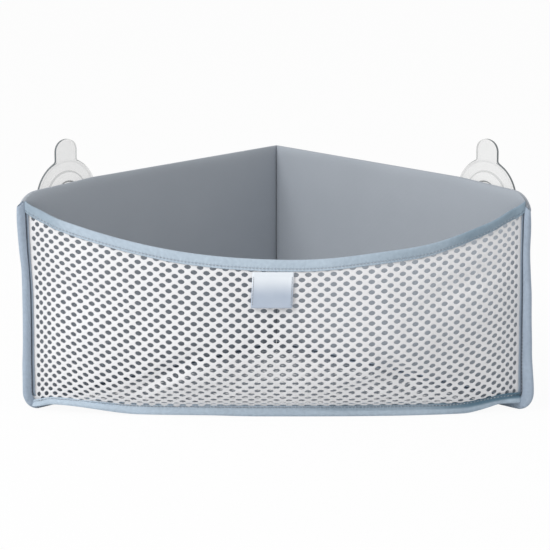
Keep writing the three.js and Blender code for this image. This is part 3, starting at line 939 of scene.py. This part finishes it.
def openHoles(bm, isOpen, tallAt=lambda centre: 1):
    s = netting
    whole = 2 * s["halfAcross"] * s["halfUp"]

    def isWhole(face):
        return len(face.verts) == 4 and abs(face.calc_area() - whole) < 0.01 * whole

    faces = [face for face in bm.faces if isWhole(face) and isOpen(face.calc_center_median())]
    bmesh.ops.inset_individual(bm, faces=faces, thickness=s["frame"], depth=0, use_even_offset=True)
    for face in faces:
        centre = face.calc_center_median()
        for vert in face.verts:
            vert.co.x = centre.x + (vert.co.x - centre.x) * s["stretchAcross"]
            vert.co.y = centre.y + (vert.co.y - centre.y) * s["stretchUp"] * tallAt(centre)
    bmesh.ops.delete(bm, geom=faces, context="FACES")
    return len(faces)


# Front: the lattice is trimmed inside the tapes
frontCloth = {
    "halfWide": gather["start"] + gather["cloth"],
    "tall": columnAt(0)[0][-1],
    "seamGap": 0.0040,  # no holes beside the side seams
    "sideTall": 0.14,  # the holes are taller there
    "turnedEdge": 0.0016,
    "turnedCut": 0.0012,
    "hem": 0.0070,  # of the bottom tape, with no holes behind it
    "topHem": 0.005,
    "trim": 0.0035,
}


def onFrontCloth(wide, across, height):
    beyond = abs(wide) - frontCloth["halfWide"]
    if beyond >= 0:
        along = bag["turn"] + beyond + leftLean(height) * (wide < 0)
        return onWall(math.copysign(1, wide), along, bag["turnDepth"], height)
    return offFront(across, height, slack(across, height) + seamTwist(across, height))


def makeFrontCloth():
    s = frontCloth
    reach = s["halfWide"] + s["turnedEdge"]
    half = s["tall"] / 2
    bm = makeLattice(reach, half)
    for sign in (-1, 1):
        planeCut(bm, (sign * reach, 0, 0), (-sign, 0, 0), True)
        planeCut(bm, (0, sign * half, 0), (0, -sign, 0), True)
        planeCut(bm, (sign * s["halfWide"], 0, 0), (1, 0, 0))
        planeCut(bm, (sign * (s["halfWide"] + s["turnedCut"]), 0, 0), (1, 0, 0))

    def spotOf(point):
        across = acrossAt(point.x)
        return across, heightAt(across, (half - point.y) / s["tall"])

    def clearOfTapes(point):
        across, height = spotOf(point)
        low = bottomLevel(across, "upper") + s["hem"]
        return abs(point.x) < s["halfWide"] - s["seamGap"] and low < height < topEdge(across) - s["topHem"]

    def tallAt(point):
        return 1 + s["sideTall"] * eased(abs(point.x), gather["start"], s["halfWide"])

    count = openHoles(bm, clearOfTapes, tallAt)
    layFlat(bm)
    spots = {vert: (vert.co.x, *spotOf(vert.co)) for vert in bm.verts}

    def overTop(vert):
        wide, across, height = spots[vert]
        return height - topEdge(across)

    surplus = [face for face in bm.faces
               if sum(overTop(vert) for vert in face.verts) > -s["trim"] * len(face.verts)]
    bmesh.ops.delete(bm, geom=surplus, context="FACES")
    for vert in bm.verts:
        vert.co = onFrontCloth(*spots[vert])
    print("front mesh,", count, "holes, cloth area", round(sum(face.calc_area() for face in bm.faces), 4))
    piece = makePiece(bm, "frontMesh", "mesh", ["front_mesh"])
    padOut(piece, netting["thickness"])
    return piece


# Floor: flat, cropped to the tapes all round
floorCloth = {
    "halfWide": 0.215,
    "halfDeep": 0.125,
    "level": 0.0076,
    "wallGap": 0.0031,
    "frontGap": 0.0026,
    "frontLevel": 0.004,
    "frontCuts": [k / 6.2 for k in range(-6, 7)],
    "edge": 0.0035,
    "sag": 0.0008,
    "sagFade": 0.03,
}


def makeFloorCloth():
    s = floorCloth
    bm = makeLattice(s["halfWide"], s["halfDeep"])
    for vert in bm.verts:
        vert.co.z = s["level"]
    planes = []
    for side in (-1, 1):
        planes.append((onWall(side, 0.1, -s["wallGap"], 0), Vector((-side * diagonal, -diagonal, 0))))
    for across in s["frontCuts"]:
        inward = -frontNormal(across, s["frontLevel"])
        planes.append((frontPoint(across, s["frontLevel"]) + inward * s["frontGap"], inward))
    for point, inward in planes:
        planeCut(bm, point, inward, True)

    def margin(spot):
        return min((spot - point).dot(inward) for point, inward in planes)

    count = openHoles(bm, lambda spot: margin(Vector((spot.x, spot.y, 0))) > s["edge"])
    layFlat(bm)
    for vert in bm.verts:
        sag = noise.noise(Vector((vert.co.x * 14, vert.co.y * 14, 3.3)))
        vert.co.z += s["sag"] * sag * within(margin(vert.co) / s["sagFade"])
    piece = makePiece(bm, "floorMesh", "floor", ["floor_mesh"])
    padOut(piece, netting["thickness"])
    print("floor mesh,", count, "holes")
    return piece


# Tapes along the mesh's top edge and bottom seam
frontTape = {
    "topEnd": 1.004,
    "bottomEnd": 1.0,
    "steps": 110,
    "thickness": 0.0008,
    "section": [  # outwards and distance from the fold; the other leg is mirrored below
        (0.00130, 0.0096), (0.00118, 0.0086), (0.00086, 0.0076), (0.00132, 0.0065), (0.00172, 0.0048),
        (0.00182, 0.0030), (0.00150, 0.0013), (0.00080, 0.0005), (0.0, 0.0003),
    ],
    "deep": 0.0096,
    "clothShare": 1.066,  # of the cloth's coordinate to the distance from the fold
    "puff": 0.25,
    "endPuff": (0.7, 0.955, 0.035),  # flatter at the ends, as (share, from, run)
    "wave": 0.0004,
    "waveFrom": 0.005,
    "lap": 0.0026,  # the ends lie over the side tapes
    "topLap": (0.965, 0.995),
    "bottomLap": (0.92, 0.985),
    "endRise": 0.0030,
    "endRiseAt": (0.975, 1.004),
    "roll": 0.0034,  # the top one looks down a little on the right
    "rollStart": (0.30, 0.60),
    "rollEnd": (0.90, 0.98),
    "tuck": {  # a crease at each bottom corner, as (from, to, low, high, depth)
        "left": (0.935, 0.990, 0.0042, 0.0076, 0.0013),
        "right": (0.895, 0.980, 0.0060, 0.0136, 0.0019),
    },
    "tuckWide": 0.0013,
    "tuckEase": 0.02,
    "stitchFrom": 0.0076,
    "stitchOut": 0.00136,
    "stitchEnd": 0.03,
}
frontTape["section"] += [(-out, inward) for out, inward in frontTape["section"][-2::-1]]


def onTopTape(across, out, inward):
    s = frontTape
    height = topEdge(across) - inward + s["endRise"] * eased(abs(across), *s["endRiseAt"])
    lap = s["lap"] * eased(abs(across), *s["topLap"])
    roll = s["roll"] * eased(across, *s["rollStart"]) * (1 - eased(across, *s["rollEnd"]))
    lap += roll * (1 - inward / s["deep"])
    return offFront(across, height, out + lap)


def onBottomTape(across, out, inward):
    s = frontTape
    low, high = bottomSeam(across)
    height = low + (high - low) * inward / s["deep"]
    start, end, first, last, depth = s["tuck"][handOf(across)]
    away = (height - first - (last - first) * eased(abs(across), start, end)) / s["tuckWide"]
    out += s["lap"] * eased(abs(across), *s["bottomLap"])
    out += seamTwist(across, height)
    tucked = eased(abs(across), start - s["tuckEase"], start + s["tuckEase"])
    out -= depth * tucked * math.exp(-away * away)
    return offFront(across, height, out)


def makeFrontTape(name, node, finish, end, place, seed):
    s = frontTape
    rows = len(s["section"]) - 1
    share, start, run = s["endPuff"]
    bm = bmesh.new()
    bmesh.ops.create_grid(bm, x_segments=s["steps"], y_segments=rows, size=0.5)
    spots = {vert: (vert.co.x * 2 * end, round((vert.co.y + 0.5) * rows)) for vert in bm.verts}

    def clothSpot(vert):
        across, row = spots[vert]
        return across * bag["halfFront"], s["section"][row][1] * s["clothShare"]

    layFlat(bm, clothSpot)
    for vert, (across, row) in spots.items():
        out, inward = s["section"][row]
        puff = 1 + s["puff"] * noise.noise(Vector((across * 9, seed, 0.5)))
        puff *= 1 - share * within((abs(across) - start) / run)
        drift = s["wave"] * noise.noise(Vector((across * 7, seed, 3.9)))
        vert.co = place(across, out * puff, inward + (drift if inward > s["waveFrom"] else 0))
    faceOutwards(bm)
    piece = makePiece(bm, name, finish, [node])
    padOut(piece, s["thickness"])
    return piece


# Rows of stitches: one bead of thread, set down again and again
def makeBead():
    bm = bmesh.new()
    bmesh.ops.create_uvsphere(bm, u_segments=6, v_segments=5, radius=0.5)
    bmesh.ops.rotate(bm, verts=bm.verts, matrix=Matrix.Rotation(math.pi / 2, 3, "Y"))
    bmesh.ops.scale(bm, vec=(stitch["long"], stitch["wide"], stitch["high"]), verts=bm.verts)
    layFlat(bm)
    return meshFrom(bm, "bead")


bead = makeBead()


def sewRow(bm, pointAt, normalAt, start, end):
    steps = 240
    line = [pointAt(start + (end - start) * k / steps) for k in range(steps + 1)]
    run = runOf(line)
    for n in range(int(run[-1] / stitch["pitch"])):
        goal = (n + 0.5) * stitch["pitch"]
        k = min(steps, max(1, bisect.bisect_left(run, goal)))
        part = (goal - run[k - 1]) / (run[k] - run[k - 1])
        tangent = (line[k] - line[k - 1]).normalized()
        up = normalAt(start + (end - start) * (k - 1 + part) / steps)
        tangent = (tangent + up.cross(tangent) * stitch["slant"]).normalized()
        beside = up.cross(tangent).normalized()
        turn = Matrix((tangent, beside, tangent.cross(beside))).transposed().to_4x4()
        turn.translation = line[k - 1].lerp(line[k], part)
        placed = bead.copy()
        placed.transform(turn)
        bm.from_mesh(placed)
        bpy.data.meshes.remove(placed)


def makeFrontStitches(name, finish, end, place, edge):
    s = frontTape
    bm = bmesh.new()
    reach = end - s["stitchEnd"]
    for face in (1, -1):
        sewRow(bm, lambda across: place(across, face * s["stitchOut"], s["stitchFrom"]),
               lambda across: frontNormal(across, edge(across)) * face, -reach, reach)
    return makePiece(bm, name, finish)


def makeWallStitches(side, hand):
    s = wallTape
    bm = bmesh.new()
    hub = s["length"] - s["cornerRadius"]
    low = s["cornerRadius"]
    top = s["top"][hand] - s["stitchTop"]
    straight = top - low

    def follow(far, depth, inward):
        radius = low - inward
        turn = radius * math.pi / 2
        if far < straight:
            height = top - far
            return onWall(side, s["length"] - inward + leftLean(height) * (side < 0), depth, height)
        if far < straight + turn:
            angle = (far - straight) / radius
            return onWall(side, hub + radius * math.cos(angle), depth, low - radius * math.sin(angle))
        return onWall(side, hub - (far - straight - turn), depth, inward)

    outwards = Vector((side * diagonal, diagonal, 0))
    for depth, inward, face in s["stitches"]:
        total = straight + (low - inward) * math.pi / 2 + hub - s["stitchEnd"]
        sewRow(bm, lambda far: follow(far, depth, inward), lambda far: outwards * face, 0, total)
    makePiece(bm, hand + "WallStitches", "thread")


# Bare square label, hemmed and sewn on under the top tape
def onLabel(a, b, out):
    s = labelPatch
    across = (s["shift"] + (a - 0.5) * s["wide"] + (b - 0.5) * s["slope"]) / bag["halfFront"]
    height = topEdge(0) - s["under"] - (1 - b) * s["tall"]
    return offFront(across, height, out)


def makeLabel():
    s = labelPatch
    bm = bmesh.new()
    bmesh.ops.create_grid(bm, x_segments=s["cells"], y_segments=s["cells"], size=0.5)
    spots = {vert: (vert.co.x + 0.5, vert.co.y + 0.5) for vert in bm.verts}
    layFlat(bm, lambda vert: (spots[vert][0] * s["wide"], spots[vert][1] * s["tall"]))
    for vert, (a, b) in spots.items():
        edge = min(a * s["wide"], (1 - a) * s["wide"], b * s["tall"], (1 - b) * s["tall"])
        border = 1 / (1 + math.exp((edge - s["border"]) / s["borderEase"]))
        roll = max(0, 1 - edge / s["roll"]) ** 2
        vert.co = onLabel(a, b, s["lift"] + s["raise"] * (border - s["rollDeep"] * roll))
    faceOutwards(bm)
    piece = makePiece(bm, "labelPatch", "label", ["label"])
    padOut(piece, s["thickness"])
    rows = bmesh.new()
    height = s["lift"] + s["raise"] + s["sewLift"]
    beside = s["sewInset"] / s["wide"]
    low = s["sewInset"] / s["tall"]
    for a in (beside, 1 - beside):
        sewRow(rows, lambda t: onLabel(a, low + (1 - low) * t, height),
               lambda t: frontNormal(0, s["sewFacing"]), *s["sewRun"])
    sewn = makePiece(rows, "labelStitches", "thread")
    return piece, sewn


# Suction cups: spun disc and stud, with the tab drawn out of the rim
cup = {
    "steps": 72,
    "section": [  # radius and depth outwards
        (0.0, 0.0013), (0.0046, 0.0013), (0.0053, 0.0015), (0.0055, 0.0018), (0.0055, 0.0023),
        (0.0053, 0.00248), (0.0038, 0.0025), (0.0037, 0.0027), (0.0037, 0.0060), (0.0040, 0.0062),
        (0.0114, 0.0062), (0.0119, 0.0064), (0.0121, 0.0073), (0.0134, 0.0074), (0.0136, 0.0069),
        (0.0141, 0.0067), (0.0180, 0.0074), (0.0221, 0.0082), (0.0228, 0.0085), (0.0231, 0.0091),
        (0.0237, 0.0092), (0.0270, 0.0092), (0.0306, 0.0092), (0.0311, 0.0090), (0.0315, 0.0085),
        (0.0319, 0.0083), (0.0327, 0.0083), (0.0330, 0.0085), (0.0330, 0.0108), (0.0326, 0.0110),
        (0.0318, 0.0110), (0.0272, 0.0110), (0.0266, 0.0109), (0.0190, 0.0102), (0.0120, 0.0095),
        (0.0, 0.0095),
    ],
    "rim": 0.0330,
    "rimBand": 0.0325,  # the rim's faces lie outside this
    "tabHalf": 0.0117,
    "tabRoot": 0.0130,
    "tabReach": 0.0505,
    "tabTip": 0.0097,
    "tabSteps": [0.03, 0.22, 0.42, 0.62, 0.82, 1.0],
    "steep": 0.5,  # how far a face's normal leans on the axis
    "sloped": 0.95,
    "shades": [(0, 0), (0.0110, 0.8), (0.0150, 0), (0.0215, 0.45), (0.0250, 0), (0.0280, 0.12)],  # painted shade on the sloped ring steps, by radius
    "crease": 0.8,  # keeps the rim's two edges crisp
    "rimThrough": 0.75,  # painted shade: how dark the far edge is, seen through the vinyl
    "rimFade": (0.35, 0.95),
    "tabThrough": 0.45,
    "rootAngle": 0.38,  # where the tab leaves the rim, from the top
    "rootFade": (0.42, 0.85),
    "tiny": 0.0001,
}


def shadeRim(bm):  # the first coordinate is how much painted shade an edge gets, the second how much of it shows from inside
    s = cup
    layer = bm.loops.layers.uv.new("rim")
    crease = bm.edges.layers.float.new("crease_edge")
    for face in bm.faces:
        spot = face.calc_center_median()
        away = math.hypot(spot.x, spot.z)
        turned = abs(math.atan2(spot.x, spot.z))
        dark = 0
        through = 0
        if abs(face.normal.y) < s["steep"] and away > s["rimBand"]:
            dark = 1
            through = s["tabThrough"]
            if away < s["rim"] + s["tiny"]:
                through = s["rimThrough"] * (1 - eased(turned, *s["rimFade"]))
            for edge in face.edges:
                if abs(edge.verts[0].co.y - edge.verts[1].co.y) < s["tiny"]:
                    edge[crease] = s["crease"]
        # painted shade on sloped faces: the ring steps, and the bevel behind the tab's root
        elif abs(face.normal.y) < s["sloped"]:
            dark = [shade for start, shade in s["shades"] if away >= start][-1]
            if away > s["rimBand"] and face.normal.y < 0 and turned > s["rootAngle"]:
                dark = max(dark, 1 - eased(turned, *s["rootFade"]))
        for loop in face.loops:
            loop[layer].uv = (dark, through)


def makeCup(side, hand):
    s = cup
    bm = bmesh.new()
    verts, edges = chainOf(bm, [(radius, depth, 0) for radius, depth in s["section"]])
    bmesh.ops.spin(bm, geom=verts + edges, cent=(0, 0, 0), axis=(0, 1, 0), angle=2 * math.pi,
                   steps=s["steps"], use_merge=True)
    weld(bm)
    faceOutwards(bm)

    def underTab(face):
        spot = face.calc_center_median()
        onRim = math.hypot(spot.x, spot.z) > s["rim"] - s["tiny"]
        return onRim and spot.z > 0 and abs(spot.x) < s["tabRoot"]

    tip = [face for face in bm.faces if underTab(face)]
    half = s["tabHalf"]
    widest = max(abs(vert.co.x) for face in tip for vert in face.verts)
    roots = {}
    for k, share in enumerate(s["tabSteps"]):
        made = bmesh.ops.extrude_face_region(bm, geom=tip)["geom"]
        bmesh.ops.delete(bm, geom=tip, context="FACES_ONLY")
        tip = ofKind(made, bmesh.types.BMFace)
        for vert in {vert for face in tip for vert in face.verts}:
            start = vert.co.x / widest if k == 0 else roots[round(vert.co.x, 7)]
            end = math.sin(start * math.pi / 2)  # even steps round the tip
            across = half * (start + (end - start) * share)
            root = math.sqrt(s["rim"] ** 2 - (start * half) ** 2)
            top = s["tabReach"] - s["tabTip"] + s["tabTip"] * math.cos(start * math.pi / 2)
            vert.co.x = across
            vert.co.z = root + (top - root) * share
            roots[round(vert.co.x, 7)] = start
    weld(bm)
    faceOutwards(bm)
    shadeRim(bm)
    bmesh.ops.translate(bm, vec=(cupPlace["along"], 0, cupPlace["up"]), verts=bm.verts)
    setOnWall(bm, side)
    piece = makePiece(bm, hand + "Cup", "cup", [hand + "_suction_cup"], hand + "_cup")
    smoothen(piece)


for side, hand in ((-1, "left"), (1, "right")):
    makeLining(side, hand)
    makeCover(side, hand)
    makeWallTape(side, hand)
    makeWallStitches(side, hand)
    makeCup(side, hand)
    for part in ("eyelet", "wall_board"):
        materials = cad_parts[hand + "_" + part].data.materials
        materials.clear()
        materials.append(finishes[part])
print("walls and cups made")

frontMesh = makeFrontCloth()
floorMesh = makeFloorCloth()
topEnd = frontTape["topEnd"]
bottomEnd = frontTape["bottomEnd"]
topTape = makeFrontTape("frontTopTape", "front_top_binding", "topTape", topEnd, onTopTape, 2.4)
bottomTape = makeFrontTape("frontBottomTape", "front_bottom_binding", "bottomTape", bottomEnd,
                           onBottomTape, 7.9)
topStitches = makeFrontStitches("frontTopStitches", "paleHoleShadeThread", topEnd, onTopTape, topEdge)
bottomStitches = makeFrontStitches("frontBottomStitches", "thread", bottomEnd, onBottomTape, bottomRise)
labelPiece, labelSewing = makeLabel()
print("front and floor made")


# Stage, light and camera
studio = {
    "lens": 196.2,
    "sensor": 36,
    "distance": 2.6,
    "elevation": 12.42,
    "target": (-0.0013, -0.0214, 0.1047),
    "world": 0.62,
    "key": 28,
    "keyFrom": (-1.5, -1.2, 1.6),
    "keySize": 1.2,
    "floorSize": 6,
    "floorTone": (0.90, 0.90, 0.90, 1),
    "floorRough": 0.9,
    "floorWhite": 0.94,
}


def seenPlainly(tree):  # 1 for what the camera, a mirror or clear vinyl sees, and 0 for light
    rays = tree.nodes.new("ShaderNodeLightPath").outputs
    seen = Wire(tree, rays["Is Camera Ray"]) + Wire(tree, rays["Is Glossy Ray"])
    seen = seen + Wire(tree, rays["Is Transmission Ray"])
    return seen.maths("MINIMUM", seen, 1.0)


def makeGround():
    s = studio
    bm = bmesh.new()
    bmesh.ops.create_grid(bm, x_segments=1, y_segments=1, size=s["floorSize"])
    mesh = meshFrom(bm, "floor")
    ground = addObject("floor", mesh)
    settings = {"Base Color": s["floorTone"], "Roughness": s["floorRough"]}
    material, place, shader = startFinish("paleFloor", "Object", settings)
    tree = material.node_tree
    white = place.make("ShaderNodeEmission", {}, {"Color": (1, 1, 1, 1), "Strength": 1.0})
    share = seenPlainly(tree) * s["floorWhite"]
    mixed = place.make("ShaderNodeMixShader", {}, {0: share, 1: Wire(tree, shader.outputs[0]), 2: white})
    mixed.into(tree.nodes["Material Output"], "Surface")
    mesh.materials.append(material)


def makeLight():
    s = studio
    world = bpy.data.worlds.new("studio")
    bpy.context.scene.world = world
    world.use_nodes = True
    background = world.node_tree.nodes["Background"]
    background.inputs["Color"].default_value = (1, 1, 1, 1)
    strength = s["world"] + seenPlainly(world.node_tree) * (1 - s["world"])
    strength.into(background, "Strength")
    lamp = bpy.data.lights.new("key", "AREA")
    lamp.energy = s["key"]
    lamp.size = s["keySize"]
    key = addObject("key", lamp)
    key.location = s["keyFrom"]
    key.rotation_euler = (Vector(s["target"]) - key.location).to_track_quat("-Z", "Y").to_euler()


def makeCamera():
    s = studio
    lens = bpy.data.cameras.new("camera")
    lens.lens = s["lens"]
    lens.sensor_width = s["sensor"]
    camera = addObject("camera", lens)
    tilt = math.radians(s["elevation"])
    camera.location = Vector(s["target"]) + Vector((0, -math.cos(tilt), math.sin(tilt))) * s["distance"]
    camera.rotation_euler = (math.pi / 2 - tilt, 0, 0)
    bpy.context.scene.camera = camera
    bpy.context.scene.view_settings.view_transform = "Standard"


makeGround()
makeLight()
makeCamera()
print("stage made")

bpy.context.view_layer.update()
